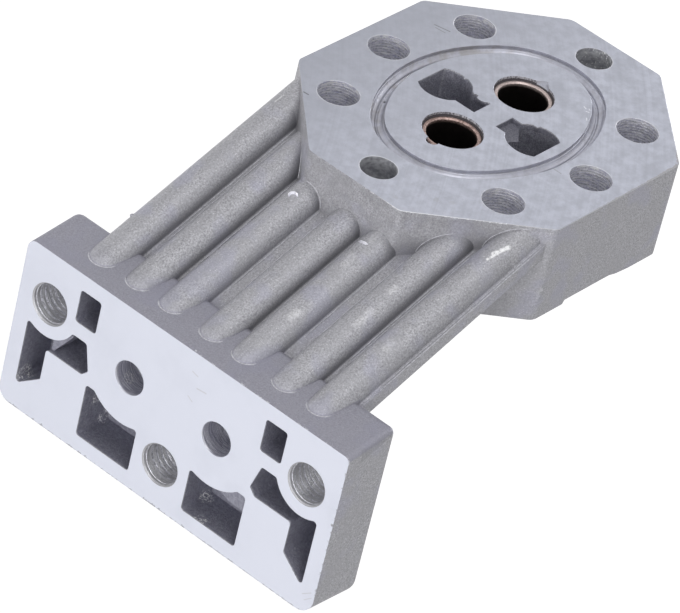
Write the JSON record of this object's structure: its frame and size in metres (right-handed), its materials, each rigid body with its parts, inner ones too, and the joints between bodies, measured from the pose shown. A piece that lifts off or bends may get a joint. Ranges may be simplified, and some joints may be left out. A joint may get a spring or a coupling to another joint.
{
  "type": "pump bracket",
  "caption": "Gear pump end bracket: an octagonal head with two shaft bushes and a seal groove, a ribbed slanted neck and a drilled foot plate.",
  "frame": {"origin": "centre of the octagonal machined face of the head, midway between the shaft bores", "axes": "+Z out of the octagonal face along the shaft bores, -X towards the foot plate and out of its machined face, +Y towards the pressure pocket"},
  "size_m": [0.1453, 0.0956, 0.0707],
  "materials": {
    "cast_aluminium": "matt cast skin, machined bright on the octagonal face and the foot face",
    "bush_bronze": "satin copper-coloured bearing metal"
  },
  "bodies": {
    "root": {"bracket_casting": "cast_aluminium", "inner_shaft_bush": "bush_bronze", "outer_shaft_bush": "bush_bronze"}
  },
  "joints": []
}
